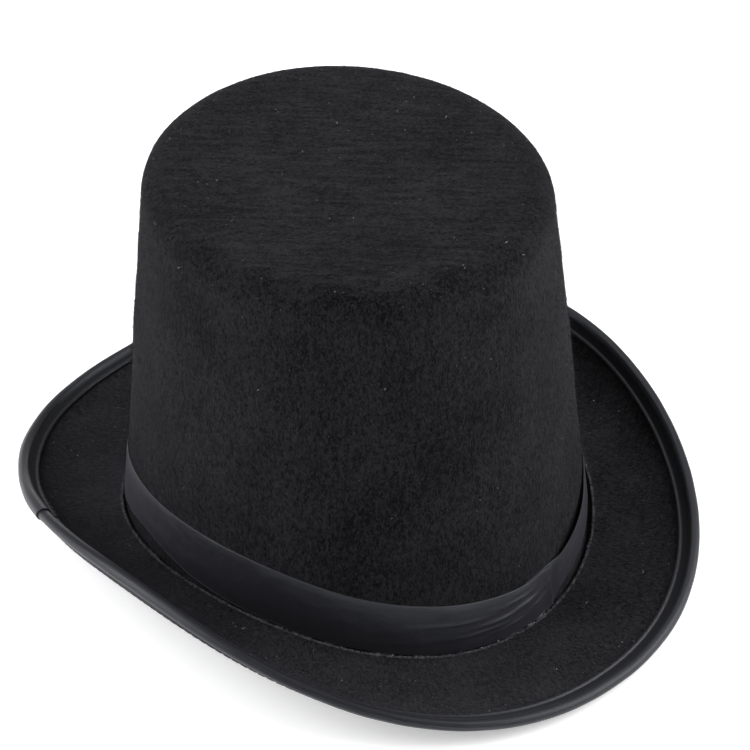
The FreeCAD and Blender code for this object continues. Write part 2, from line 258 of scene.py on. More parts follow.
def fibres(name, roots, ways, lengths, width, droop, material, seed):
    """Tapering blades, one for each root: from the root, along its way for its length, bent
    sideways by the droop times the length. All arrays are in millimetres."""
    dice = np.random.default_rng(seed)
    count = len(roots)
    side = np.cross(ways, dice.normal(size=(count, 3)))
    side /= np.linalg.norm(side, axis=1, keepdims=True)
    bend = np.cross(ways, side) * (droop * dice.uniform(-1, 1, (count, 1)))
    reach = lengths[:, None]
    middle = roots + reach * (0.55 * ways + 0.2 * bend)
    tip = roots + reach * (ways + bend)
    half = side * width / 2
    rings = [roots - half, roots + half, middle - 0.8 * half, middle + 0.8 * half, tip]
    points = np.stack(rings, axis=1).reshape(-1, 3) * MM
    first = np.arange(count)[:, None] * 5
    quads = (first + [0, 1, 3, 2]).tolist()
    ends = (first + [2, 3, 4]).tolist()
    mesh = bpy.data.meshes.new(name)
    mesh.from_pydata(points.tolist(), [], quads + ends)
    return finish_mesh(name, mesh, material)


# ---- finishes ----


class Number:
    """A number that varies over a surface. Arithmetic on it adds Math nodes."""

    def __init__(self, finish, socket):
        self.finish, self.socket = finish, socket

    def __add__(self, other):
        return self.finish.maths("ADD", self, other)

    __radd__ = __add__

    def __sub__(self, other):
        return self.finish.maths("SUBTRACT", self, other)

    def __mul__(self, other):
        return self.finish.maths("MULTIPLY", self, other)

    def over(self, low, high):
        """0 below low, 1 above high, and straight between them."""
        sockets = {0: self, 1: low, 2: high, 3: 0.0, 4: 1.0}
        node = self.finish.node("ShaderNodeMapRange", {"clamp": True}, sockets)
        return Number(self.finish, node.outputs[0])


class Finish:
    """A material under construction. Its Principled shader's own sockets take constants."""

    def __init__(self, name, **constants):
        self.material = bpy.data.materials.new(name)
        self.material.use_nodes = True
        self.tree = self.material.node_tree
        self.shader = self.tree.nodes["Principled BSDF"]
        for socket, value in constants.items():
            self.shader.inputs[socket.replace("_", " ")].default_value = value

    def node(self, kind, settings=None, sockets=None):
        node = self.tree.nodes.new(kind)
        for key, value in (settings or {}).items():
            setattr(node, key, value)
        for key, value in (sockets or {}).items():
            self.put(node.inputs[key], value)
        return node

    def put(self, socket, value):
        if isinstance(value, Number):
            value = value.socket
        if isinstance(value, bpy.types.NodeSocket):
            self.tree.links.new(value, socket)
        else:
            socket.default_value = value

    def maths(self, operation, *terms):
        """A Math node over one or two terms."""
        node = self.node("ShaderNodeMath", {"operation": operation}, dict(enumerate(terms)))
        return Number(self, node.outputs[0])

    def place(self):
        """The surface's own place, as three numbers in metres."""
        where = self.node("ShaderNodeTexCoord").outputs["Object"]
        parts = self.node("ShaderNodeSeparateXYZ", {}, {0: where}).outputs
        return [Number(self, part) for part in parts]

    def unrolled(self):
        """Along and across a tape, in metres."""
        where = self.node("ShaderNodeUVMap", {"uv_map": "UVMap"}).outputs[0]
        parts = self.node("ShaderNodeSeparateXYZ", {}, {0: where}).outputs
        return [Number(self, part) for part in parts[:2]]

    def noise(self, x, y, z, detail=2.0, roughness=0.5):
        """Noise whose lumps are about one unit across in the three numbers."""
        at = self.node("ShaderNodeCombineXYZ", {}, {0: x, 1: y, 2: z}).outputs[0]
        sockets = {"Vector": at, "Scale": 1.0, "Detail": detail, "Roughness": roughness}
        return Number(self, self.node("ShaderNodeTexNoise", {}, sockets).outputs[0])

    def between(self, share, first, second):
        """A colour mixed from two colours."""
        node = self.node("ShaderNodeMix", {"data_type": "RGBA"}, {0: share, 6: first, 7: second})
        return node.outputs[2]

    def colour(self, value):
        self.put(self.shader.inputs["Base Color"], value)

    def roughness(self, value):
        self.put(self.shader.inputs["Roughness"], value)

    def relief(self, height, depth, strength=1.0):
        """Bump from a height between 0 and 1, whose full depth is in metres."""
        sockets = {"Strength": strength, "Distance": depth, "Height": height}
        bump = self.node("ShaderNodeBump", {}, sockets)
        self.put(self.shader.inputs["Normal"], bump.outputs[0])


def grey(value, blue=1.0):
    return (value, value, value * blue, 1.0)


def felt(name, radial, painted_light_scale, spread):
    """Pressed felt: short fibres, drawn out lengthwise along z or, where radial, across the
    brim, with coarser tufts, a slow mottle and light specks. The tip also has low ripples in
    the pile. The painted light scale multiplies both colours: painted light, which makes the
    brim's felt lighter than the crown's where it is more lit. Spread widens the range between them."""
    cloth = Finish(name, Specular_IOR_Level=0.03, Sheen_Weight=0.05, Sheen_Roughness=0.5)
    cloth.shader.inputs["Sheen Tint"].default_value = (0.72, 0.72, 0.80, 1.0)
    x, y, z = cloth.place()
    if radial:
        angle = cloth.maths("ARCTAN2", y, x)
        out = cloth.maths("SQRT", x * x + y * y)
        fibre = cloth.noise(angle * 210.0, out * 950.0, z * 500.0, 4.0, 0.7)
        tuft = cloth.noise(angle * 105.0, out * 440.0, z * 200.0, 3.0, 0.6)
    else:
        fibre = cloth.noise(x * 1250.0, y * 1250.0, z * 700.0, 4.0, 0.75)
        tuft = cloth.noise(x * 600.0, y * 600.0, z * 330.0, 3.0, 0.65)
    ripple = cloth.noise((y - x) * 45.0, (x + y * 0.9) * 300.0, z * 60.0, 2.0, 0.5)
    mottle = cloth.noise(x * 42.0, y * 42.0, z * 30.0, 2.0, 0.5)
    on_top = z.over(TIP_LEVEL * MM - 0.004, TIP_LEVEL * MM - 0.001)
    pile = fibre * 0.5 + tuft * 0.35 + mottle * 0.15 + (ripple - 0.5) * on_top * 0.22
    lint = cloth.noise(x * 1100.0, y * 1100.0, z * 900.0, 1.0, 0.4).over(0.775, 0.83)
    dark = (0.0012 * painted_light_scale, 0.0011 * painted_light_scale, 0.0012 * painted_light_scale, 1)
    light = (0.0150 * painted_light_scale, 0.0146 * painted_light_scale, 0.0162 * painted_light_scale, 1)
    ground = cloth.between(pile.over(0.43 - spread, 0.59 + spread), dark, light)
    cloth.colour(cloth.between(lint * 0.5, ground, grey(0.08)))
    cloth.roughness(0.88 + pile * 0.12)
    cloth.relief(fibre * 0.6 + tuft * 0.4 + ripple * on_top * 0.4, 0.0012, 0.9)
    return cloth.material


def satin(name, base, rough, blue, gloss, sheen, shaded_zones):
    """Satin tape: long smooth floats along the tape, tied down in a fine even weave. The shaded
    zones, as (start, end) across the tape in metres, are rougher and painted dark: painted shade."""
    cloth = Finish(name, Specular_IOR_Level=gloss, Sheen_Weight=sheen, Sheen_Roughness=0.45)
    cloth.shader.inputs["Sheen Tint"].default_value = (0.80, 0.78, 0.95, 1.0)
    cloth.shader.inputs["Specular Tint"].default_value = (0.90, 0.93, 1.0, 1.0)
    along, across = cloth.unrolled()
    floats = cloth.noise(along * 240.0, across * 5200.0, 0.0, 2.0, 0.5)
    slub = cloth.noise(along * 60.0, across * 900.0, 0.0, 2.0, 0.6)
    grain = cloth.noise(along * 2600.0, across * 3400.0, 0.0, 2.0, 0.6)
    wear = cloth.noise(along * 22.0, across * 160.0, 0.0, 3.0, 0.55)
    weave = cloth.maths("SINE", along * 9000.0) * cloth.maths("SINE", across * 16000.0)
    tone = (floats * 0.25 + slub * 0.2 + wear * 0.15 + grain * 0.4).over(0.34, 0.66)
    # Painted shade: 1 inside the shaded zones, where the colour is darkened and the roughness raised.
    painted_shade_and_dull = 0.0
    for start, end in shaded_zones:
        painted_shade_and_dull = painted_shade_and_dull + across.over(start, start + SHADED_ZONE_FADE) - across.over(end - SHADED_ZONE_FADE, end)
    gleam = cloth.between(tone, grey(base * 0.5, blue), grey(base * 1.7, blue))
    # The colour goes nearly black in the shaded zones: painted shade.
    cloth.colour(cloth.between(painted_shade_and_dull * 0.9, gleam, grey(base * 0.08)))
    cloth.roughness(rough + floats * 0.10 + wear * 0.10 - 0.10 + painted_shade_and_dull * 0.5)
    cloth.relief(floats * 0.45 + slub * 0.25 + grain * 0.3 + weave * 0.04, 0.00022, 0.75)
    return cloth.material


def ribbed_tape(name):
    """Grosgrain: ribs across the tape, one in each rib spacing along it."""
    cloth = Finish(name, Specular_IOR_Level=0.2, Sheen_Weight=0.1, Sheen_Roughness=0.5)
    along, across = cloth.unrolled()
    rib = cloth.maths("SINE", along * (2 * math.pi / RIB_SPACING)) * 0.5 + 0.5
    fleck = cloth.noise(along * 1400.0, across * 2200.0, 0.0, 2.0, 0.6)
    cloth.colour(cloth.between(rib * 0.6 + fleck * 0.4, grey(0.006), grey(0.032)))
    cloth.roughness(0.7 + fleck * 0.2)
    cloth.relief(rib * 0.7 + fleck * 0.3, 0.00022, 0.8)
    return cloth.material


def spun(name, dark, light, roughness, twist):
    """Twisted yarn: fine slanting strands."""
    cloth = Finish(name, Specular_IOR_Level=0.3)
    x, y, z = cloth.place()
    strand = cloth.noise((x + z) * twist, (y + z) * twist, (x - y) * twist * 0.3, 2.0, 0.6)
    cloth.colour(cloth.between(strand.over(0.35, 0.65), dark, light))
    cloth.roughness(roughness + strand * 0.2)
    cloth.relief(strand, 0.00012, 0.7)
    return cloth.material


def dried_glue(name):
    """Clear glue gone a little milky, with uneven gloss."""
    resin = Finish(name, Specular_IOR_Level=0.5)
    x, y, z = resin.place()
    cloud = resin.noise(x * 1800.0, y * 1800.0, z * 1800.0, 2.0, 0.5)
    resin.colour(resin.between(cloud.over(0.3, 0.7), grey(0.04), grey(0.30)))
    resin.roughness(0.25 + cloud * 0.3)
    resin.relief(cloud, 0.0001, 0.5)
    return resin.material


def lone_fibre(name, low, high):
    """Single fibres, some paler than others."""
    cloth = Finish(name, Specular_IOR_Level=0.15, Roughness=0.8)
    x, y, z = cloth.place()
    tone = cloth.noise(x * 700.0, y * 700.0, z * 700.0, 1.0, 0.5)
    cloth.colour(cloth.between(tone.over(0.3, 0.75), grey(low, 1.08), grey(high, 1.08)))
    cloth.roughness(0.75 + tone * 0.2)
    return cloth.material


crown_cloth = felt("felt_crown", radial=False, painted_light_scale=1.0, spread=0.0)
# The brim's felt is painted 1.45 times lighter than the crown's same black felt: painted light.
brim_cloth = felt("felt_brim", radial=True, painted_light_scale=1.45, spread=0.02)
# The ribbon's top edge, 23.5 to 26 mm across, is painted dark: painted shade over the light its edge
# would catch.
band_cloth = satin(
    "satin_band", base=0.0034, rough=0.39, blue=1.35, gloss=0.72, sheen=0.10,
    shaded_zones=((0.0235, 0.0260),),
)
sweatband_cloth = ribbed_tape("sweatband_tape")
thread_cloth = spun("sewing_thread", grey(0.003), grey(0.014), 0.6, 3500.0)
cord_cloth = spun("filler_cord", (0.42, 0.39, 0.33, 1), (0.66, 0.63, 0.57, 1), 0.75, 900.0)
glue_cloth = dried_glue("dried_glue")
fuzz_cloth = lone_fibre("felt_fuzz", 0.002, 0.021)
# The cut edge's fibres are painted about ten times paler than the felt's other fibres: a painted
# highlight along the lit lip.
lip_highlight_cloth = lone_fibre("cut_edge_painted_highlight", 0.035, 0.19)
lint_cloth = lone_fibre("lint", 0.10, 0.50)


# ---- crown ----


def crown_surface(angle, stage, depth):
    """A point of the crown. The stage runs 0-1 across the flat tip, 1-2 round the corner,
    2-3 down the wall, 3-4 round the foot's bend and 4-5 out along the flange. The depth is 0
    on the outside and the felt's thickness on the inside."""
    inside = depth / CROWN_FELT
    bend_rise = FLANGE_TOP + FOOT_BEND
    tip = tip_radius(angle)
    turn = 90.0 * (1 - np.clip(stage - 1, 0, 1))
    corner = CROWN_CORNER - depth
    flat_r = (tip - CROWN_CORNER) * np.clip(stage, 0, 1)
    corner_r = tip - CROWN_CORNER + corner * cosine(turn)
    corner_z = TIP_LEVEL - CROWN_CORNER + corner * sine(turn)
    full = TIP_LEVEL - CROWN_CORNER - foot_height(angle)
    wall_r, wall_z = wall(angle, mix(full, bend_rise, np.clip(stage - 2, 0, 1)), depth)
    fold = 90.0 * np.clip(stage - 3, 0, 1)
    bend_in, bend_down = FOOT_BEND + depth, FOOT_BEND + FLANGE_FELT * inside
    start_r = wall(angle, bend_rise, depth)[0] + bend_in
    bend_r = start_r - bend_in * cosine(fold)
    bend_z = foot_height(angle) + bend_rise - bend_down * sine(fold)
    out = mix(FOOT_BEND, FLANGE_WIDTH, np.clip(stage - 4, 0, 1))
    above = FLANGE_TOP - FLANGE_FELT * inside
    flange_r, flange_z = brim_point(angle, wall_side_share(angle, out), above)
    steps = [stage <= 1, stage <= 2, stage <= 3, stage <= 4]
    radius = np.select(steps, [flat_r, corner_r, wall_r, bend_r], flange_r)
    height = np.select(steps, [TIP_LEVEL - depth + 0 * tip, corner_z, wall_z, bend_z], flange_z)
    return radius, height


def crown_outside(angle, stage):
    """The outside of the crown in space, with the felt's slight unevenness: slow waves of up
    to 0.4 mm that fade out at the band."""
    radius, height = crown_surface(angle, stage, 0.0)
    points = in_space(angle, radius, height)
    clear = eased((height - foot_height(angle) - 26.0) / 22.0)
    uneven = 0.40 * slow_waves(points, 3, (32.0, 90.0)) + 0.13 * slow_waves(points, 4, (9.0, 20.0))
    flat = eased((1.35 - stage) / 0.7)
    push = uneven * clear
    points[..., 0] += push * (1 - flat) * cosine(angle)
    points[..., 1] += push * (1 - flat) * sine(angle)
    points[..., 2] += push * flat * 0.8
    return points


def crown():
    """One closed shell: outside from the tip's middle to the flange's edge, then back inside."""
    angle = np.linspace(0, 360, 321)[:, None]
    outer_steps = [np.linspace(0, 1, 22), np.linspace(1, 2, 12)[1:], np.linspace(2, 3, 66)[1:]]
    outer_steps += [np.linspace(3, 4, 7)[1:], np.linspace(4, 5, 7)[1:]]
    outer = np.concatenate(outer_steps)[None, :]
    inner_steps = [np.linspace(5, 4, 6), np.linspace(4, 3, 6)[1:], np.linspace(3, 2, 30)[1:]]
    inner_steps += [np.linspace(2, 1, 10)[1:], np.linspace(1, 0, 14)[1:]]
    inner = np.concatenate(inner_steps)[None, :]
    outside = crown_outside(angle + 0 * outer, outer + 0 * angle)
    inside = in_space(angle + 0 * inner, *crown_surface(angle, inner, CROWN_FELT))
    points = np.concatenate([outside, inside], axis=1)
    stations = np.arange(points.shape[1]) * 2.0 * MM
    uv = np.stack(np.broadcast_arrays(angle * 1.6 * MM, stations[None, :]), axis=-1)
    return skin("crown_felt_shell", points, uv, crown_cloth, None)


def scatter(surface, angle, stage, sag, lean, seed):
    """Roots on a surface and the ways fibres leave it: sag parts square to it, lean parts down
    the pile and some scatter, and never into the surface."""
    dice = np.random.default_rng(seed)
    here = surface(angle, stage)
    round_it = surface(angle + 0.1, stage) - here
    down_it = surface(angle, stage + 0.004) - here
    square = np.cross(down_it, round_it)
    square /= np.linalg.norm(square, axis=1, keepdims=True) + 1e-12
    down_it /= np.linalg.norm(down_it, axis=1, keepdims=True) + 1e-12
    ways = square * sag + down_it * lean + dice.normal(size=here.shape) * 0.45
    ways += square * np.maximum(0.12 - (ways * square).sum(1, keepdims=True), 0)
    return here, ways / np.linalg.norm(ways, axis=1, keepdims=True)


def crown_fuzz():
    """Loose fibres over the tip, the corner and the wall above the band."""
    dice = np.random.default_rng(11)
    count = 60000
    angle = dice.uniform(0, 360, count)
    kind = dice.uniform(size=count)
    tip = np.sqrt(dice.uniform(0, 1, count))
    corner = dice.uniform(1, 2, count)
    side = dice.uniform(2, 2.86, count)
    stage = np.select([kind < 0.16, kind < 0.27], [tip, corner], side)
    roots, ways = scatter(crown_outside, angle, stage, sag=0.5, lean=0.75, seed=12)
    lengths = dice.gamma(2.6, 0.36, count) + 0.35
    return fibres(
        "crown_fuzz", roots, ways, np.minimum(lengths, 2.6), 0.10, 0.6, fuzz_cloth, 13
    )


def brim_surface(angle, share):
    """The brim's upper face in space, with the lip turned up at its inner edge."""
    start = wall_side_share(angle, gap_at(angle))
    lip = wall_side_share(angle, 3.0)
    lift = LIP_RISE * (1 - np.clip((share - start) / lip, 0, 1)) ** 2
    return in_space(angle, *brim_point(angle, share, BRIM_FELT / 2 + lift))


def gap_at(angle):
    """The space between the brim's cut inner edge and the wall: widest at the left side and
    beyond the ribbon's lap."""
    left = 1.3 * hump(turned(angle, -12.0), 0.0, 26.0)
    return BRIM_WALL_GAP + left + 1.3 * hump(turned(angle, 124.0), 0.0, 24.0)


def brim():
    """One closed ring of felt: top from the lip to the cord, the buried edge, the underside
    and the cut inner edge. The top has slow waves of up to 0.3 mm that fade out at the tape."""
    angle = np.linspace(0, 360, 361)[:, None]
    first = wall_side_share(angle, gap_at(angle))
    last = inset_share(angle, CORD_RADIUS + 0.35)
    across = np.linspace(0, 1, 44)[None, :]
    share = mix(first, last, across)
    half = BRIM_FELT / 2
    lift = LIP_RISE * np.clip(1 - (share - first) / wall_side_share(angle, 3.0), 0, 1) ** 2
    clear = np.clip((inset_share(angle, BINDING_WIDTH + 2.0) - share) * 9.0, 0, 1)
    top = in_space(angle, *brim_point(angle, share, half + lift))
    waves = 0.24 * slow_waves(top, 25, (26.0, 70.0)) + 0.10 * slow_waves(top, 26, (7.0, 15.0))
    top[..., 2] += waves * clear * (1 - (lift / LIP_RISE) * 0.5)
    turn = np.linspace(80, -80, 7)[None, :]
    buried = in_space(angle, *brim_point(angle, last + 0 * turn, half * sine(turn)))
    share_below = share[:, ::-1]
    under = in_space(angle, *brim_point(angle, share_below, -half))
    rise = np.linspace(0.15, 0.9, 7)[None, :]
    cut = brim_point(angle, first + 0 * rise, mix(-half, LIP_TOP, rise))
    cut = in_space(angle, cut[0] - 0.18 * np.sin(np.pi * rise), cut[1])
    points = np.concatenate([top, buried, under, cut, top[:, :1]], axis=1)
    stations = np.arange(points.shape[1]) * 1.0 * MM
    uv = np.stack(np.broadcast_arrays(angle * 2.0 * MM, stations[None, :]), axis=-1)
    return skin("brim_felt_ring", points, uv, brim_cloth, None)


def brim_fuzz():
    """Loose fibres over the brim, from the lip to the binding."""
    dice = np.random.default_rng(21)
    count = 15000
    angle = dice.uniform(0, 360, count)
    first = wall_side_share(angle, BRIM_WALL_GAP + 0.3)
    last = inset_share(angle, BINDING_WIDTH + 0.6)
    share = mix(first, last, dice.uniform(size=count) ** 0.85)
    roots, ways = scatter(brim_surface, angle, share, sag=0.3, lean=0.7, seed=22)
    lengths = np.minimum(dice.gamma(2.4, 0.4, count) + 0.3, 2.6)
    return fibres("brim_fuzz", roots, ways, lengths, 0.075, 0.5, fuzz_cloth, 23)


def lip_fuzz():
    """Cut ends along the brim's inner edge, in uneven tufts, painted pale: a painted highlight on the
    lit edge.
    """
    dice = np.random.default_rng(31)
    count = 44000
    angle = dice.uniform(0, 360, count)
    back = dice.uniform(-0.05, 0.75, count)
    share = wall_side_share(angle, gap_at(angle) + back)
    roots = in_space(angle, *brim_point(angle, share, LIP_TOP - 0.35 * back))
    inwards = in_space(angle, -0.35 + 0 * angle, 0.75 + 0 * angle)
    ways = inwards + dice.normal(size=roots.shape) * 0.42
    ways /= np.linalg.norm(ways, axis=1, keepdims=True)
    tufted = 0.85 + 0.5 * slow_waves(roots, 32, (3.0, 14.0))
    lengths = np.clip(dice.gamma(3.0, 0.16, count) * tufted, 0.15, 1.3)
    return fibres("brim_lip_fibres", roots, ways, lengths, 0.10, 0.6, lip_highlight_cloth, 33)


def glue_specks():
    """Small uneven blobs of dried glue in the groove under the ribbon's end, some drawn out
    into strings: spheres of 6 by 8 points, stretched along the groove and dented by noise."""
    dice = np.random.default_rng(36)
    count = 34
    angle = BAND_JOINT + BAND_LAP - 1.0 - dice.gamma(2.2, 3.4, count)
    size = dice.uniform(0.08, 0.30, count)
    out = foot_radius(angle) + dice.uniform(0.5, 1.5, count)
    middle = in_space(angle, out, foot_height(angle) + LIP_TOP - dice.uniform(-0.25, 0.35, count))
    along = np.stack([-sine(angle), cosine(angle), 0.35 * cosine(angle)], axis=-1)
    lift, turn = np.linspace(-90, 90, 6)[:, None], np.linspace(0, 360, 9)[None, :]
    ball = np.stack([cosine(lift) * cosine(turn), cosine(lift) * sine(turn), sine(lift) + 0 * turn], -1)
    dents = dice.uniform(0.6, 1.25, (count, 6, 9, 1))
    dents[:, :, -1] = dents[:, :, 0]
    dents[:, 0], dents[:, -1] = 1.0, 1.0
    blobs = ball[None] * dents
    stretch = (dice.gamma(1.5, 0.8, count)[:, None, None, None]) * along[:, None, None, :]
    blobs = blobs + (blobs * along[:, None, None, :]).sum(-1, keepdims=True) * stretch
    points = middle[:, None, None, :] + blobs * size[:, None, None, None]
    index = np.arange(count * 54).reshape(count, 6, 9)
    corners = [index[:, :-1, :-1], index[:, :-1, 1:], index[:, 1:, 1:], index[:, 1:, :-1]]
    faces = np.stack(corners, axis=-1).reshape(-1, 4)
    mesh = bpy.data.meshes.new("glue_specks")
    mesh.from_pydata((points.reshape(-1, 3) * MM).tolist(), [], faces.tolist())
    close_seams(mesh, 1e-6)
    return finish_mesh("glue_specks", mesh, glue_cloth)


def lint():
    """A few pale hairs that have settled on the felt."""
    dice = np.random.default_rng(41)
    count = 420
    angle = dice.uniform(0, 360, count)
    on_tip = dice.uniform(size=count) < 0.3
    tip = np.sqrt(dice.uniform(size=count))
    stage = np.where(on_tip, tip, dice.uniform(1, 2.8, count))
    roots, ways = scatter(crown_outside, angle, stage, sag=0.15, lean=0.2, seed=42)
    on_brim = 240
    where = dice.uniform(0, 360, on_brim)
    share = dice.uniform(0.1, 0.85, on_brim)
    more_roots, more_ways = scatter(brim_surface, where, share, sag=0.15, lean=0.2, seed=43)
    roots, ways = np.concatenate([roots, more_roots]), np.concatenate([ways, more_ways])
    lengths = np.clip(dice.gamma(2.0, 0.2, len(roots)), 0.25, 1.3)
    return fibres("lint_specks", roots, ways, lengths, 0.22, 0.9, lint_cloth, 44)


# ---- tapes ----


def lap_layer(angle, joint):
    """0 on a tape's first turn, rising to 1 where it lies on its own first end."""
    return eased((angle - joint - 360.0 + LAP_RAMP) / LAP_RAMP)


# Creases in the ribbon beside its lap: degrees back from its end, half-length in degrees, share
# of the width, slant, and height in millimetres.
CREASES = (
    (11.0, 5.0, 0.74, -0.14, 0.34),
    (9.0, 4.0, 0.56, -0.20, 0.42),
    (16.0, 6.0, 0.46, -0.10, 0.40),
    (22.0, 8.0, 0.30, -0.06, 0.30),
    (13.0, 5.0, 0.24, -0.12, 0.26),
    (28.0, 9.0, 0.58, -0.05, 0.20),
    (5.0, 2.5, 0.38, -0.30, 0.30),
)


def band():
    """The ribbon: a straight strip up the wall with the looseness of a real one. Its height and
    its distance from the wall are sums of humps in the angle times powers of the share of its
    width: the lower edge lifts on one side, slack creases run along it into the lap, and its
    first end stands off the wall beyond the lap."""
    angle = np.linspace(BAND_JOINT, BAND_JOINT + 360 + BAND_LAP, 760)[:, None]
    share = np.linspace(0, 1, 40)[None, :]
    layer = lap_layer(angle, BAND_JOINT)
    over_end = layer * (BAND_TAPE + 0.3)
    side = turned(angle, 0.0)
    ride_up = 2.2 * hump(side, -42.0, 20.0) + 0.5 * hump(side, -8.0, 18.0)
    past_lap = eased((angle - BAND_JOINT - BAND_LAP + 1.0) / 5.0)
    loose_end = past_lap * eased((BAND_JOINT + 120 - angle) / 60.0)
    rise = LIP_TOP + BAND_RISE + ride_up + BAND_WIDTH * share
    rise = rise + 3.6 * loose_end * (1 - share) ** 1.2
    rise = rise + 6.2 * hump(side, -19.0, 17.0) * (1 - share) ** 1.5
    pulled = eased((angle - BAND_JOINT - 325.0) / 44.0)
    pulled = pulled + 0.9 * eased((BAND_JOINT + 24.0 - angle) / 16.0)
    rise = rise + share * (1.7 * hump(side, 30.0, 22.0) - 4.2 * pulled)
    rise = rise + 0.2 * sine(angle * 5.0) * share
    stand = 0.30 + over_end
    stand = stand + 2.6 * hump(angle, BAND_JOINT + 20, 13.0) * past_lap * share**1.6
    stand = stand + 1.1 * hump(side, -14.0, 26.0) * (1 - share) ** 1.3
    from_end = BAND_JOINT + 360 + BAND_LAP - angle
    crease = 0.0
    for reach, width, start, slope, depth in CREASES:
        line = start + slope * (from_end - reach) / 20.0
        crease = crease + depth * hump(share, line, 0.035) * hump(from_end, reach, width)
    fold = hump(from_end, 0.0, 1.3) * (0.5 + 0.5 * share) - 0.5 * hump(from_end, 3.2, 1.6)
    stand = stand + crease + 0.5 * fold - 0.2 * hump(share, 1.0, 0.04) * (1 - past_lap * 0.5)
    points = in_space(angle + 0 * share, *wall(angle, rise, -stand))
    uneven = slow_waves(points, 51, (14.0, 40.0)) + 0.35 * slow_waves(points, 52, (4.0, 9.0))
    swell = (0.16 * uneven + 0.16) * (1 - hump(share, 1.0, 0.1) * 0.6)
    points[..., 0] += swell * cosine(angle)
    points[..., 1] += swell * sine(angle)
    uv = np.stack(np.broadcast_arrays(angle * 1.67 * MM, share * BAND_WIDTH * MM), axis=-1)
    piece = skin("band_ribbon", points, uv, band_cloth, from_axis)
    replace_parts(piece, "hat_band")
    return thicken(piece, BAND_TAPE)


def binding_section():
    """The tape's path round the edge as (inset, above) pairs: folded hem above, over the
    brim's face, round the cord, and the same below. The inset is the distance in from the
    cord's centre."""
    face = BRIM_FELT / 2 + 0.22
    turn = np.radians(np.linspace(146, 0, 17))
    hem_in, hem_out = BINDING_WIDTH, BINDING_WIDTH - HEM_WIDTH
    hem = [(hem_out, face), (hem_in - 0.25, face), (hem_in, face + 0.3), (hem_in - 0.15, face + 0.7)]
    hem += [(mix(hem_in, hem_out, 0.35), face + 0.95), (mix(hem_in, hem_out, 0.7), face + 0.95)]
    hem += [(hem_out, face + 0.7), (hem_out - 0.12, face + 0.3), (hem_out - 0.4, face)]
    neck = [(4.0, face - 0.04), (3.3, face - 0.02), (2.6, face)]
    round_it = np.stack([-TUBE * np.cos(turn), TUBE * np.sin(turn)], axis=1)
    top = np.concatenate([np.array(hem), np.array(neck), round_it])
    below = top[-2::-1] * [1, -1]
    return np.concatenate([top, below])


def binding():
    """The satin tape round the brim's edge: its section carried round, with lengthwise creases
    on the cord and small puckers at the hems. A crease is a hump in the angle round the cord,
    and it narrows the section there."""
    angle = np.linspace(BINDING_JOINT, BINDING_JOINT + 360 + BINDING_LAP, 1000)[:, None]
    inset, above = (column[None, :] for column in binding_section().T)
    lap = lap_layer(angle, BINDING_JOINT) * 0.55
    side = np.degrees(np.arctan2(above, -inset))
    on_cord = eased((3.1 - inset) / 1.2)
    wander = 14.0 * sine(angle * 3.0) + 9.0 * sine(angle * 7.0 + 40)
    creases = 0.20 * hump(side, -28 + wander, 7.0) + 0.16 * hump(side, 22 - wander * 0.7, 6.0)
    creases = creases + 0.13 * hump(side, 66 + wander * 0.5, 6.0)
    creases = creases + 0.12 * hump(side, -62 - wander * 0.4, 7.0)
    strength = 0.55 + 0.45 * sine(angle * 2.0 + 120) * sine(angle * 5.0)
    grow = (lap - creases * strength * on_cord) * on_cord
    scale = 1 + grow / np.maximum(np.hypot(inset, above), 1.0)
    pucker = 0.05 * sine(angle * 210.0) * hump(inset, BINDING_WIDTH - 0.65, 1.1)
    lift = np.sign(above) * (lap * (1 - on_cord) + pucker)
    new_inset, new_above = inset * scale, above * scale + lift
    share = inset_share(angle, np.maximum(new_inset, 0.0))
    beyond = np.minimum(new_inset, 0.0)
    radius, height = brim_point(angle, np.minimum(share, 1.0), new_above)
    run = edge_radius(angle) - foot_radius(angle)
    climb = CURL * (edge_height(angle) - foot_height(angle))
    length = np.hypot(run, climb)
    radius, height = radius - beyond * run / length, height - beyond * climb / length
    points = in_space(angle + 0 * inset, radius, height)
    waves = 0.10 * slow_waves(points, 61, (8.0, 26.0)) * on_cord
    points[..., 0] += waves * cosine(angle)
    points[..., 1] += waves * sine(angle)
    # The flat of the tape between the hem and the cord is painted dark on both faces: painted shade for
    # the shadowed groove.
    path = binding_section()
    spans = np.linalg.norm(np.diff(path, axis=0), axis=1)
    steps = np.concatenate([[0], np.cumsum(spans)])
    flat_end = int(np.argmax(path[:, 0] < 2.2))
    flat_start = int(np.argmax(path[:, 0] < BINDING_WIDTH - HEM_WIDTH - 0.1))
    groove_shade_zone = np.array([steps[flat_start], steps[flat_end]]) * MM
    whole = steps[-1] * MM
    groove_shade_zones = [tuple(groove_shade_zone.tolist()), tuple((whole - groove_shade_zone[::-1]).tolist())]
    binding_cloth = satin(
        "satin_binding", base=0.0070, rough=0.36, blue=1.25, gloss=0.30, sheen=0.04, shaded_zones=groove_shade_zones
    )
    uv = np.stack(np.broadcast_arrays(angle * 2.4 * MM, steps[None, :] * MM), axis=-1)
    piece = skin("edge_binding_tape", points, uv, binding_cloth, from_axis)
    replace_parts(piece, "brim_binding")
    return thicken(piece, BINDING_TAPE)


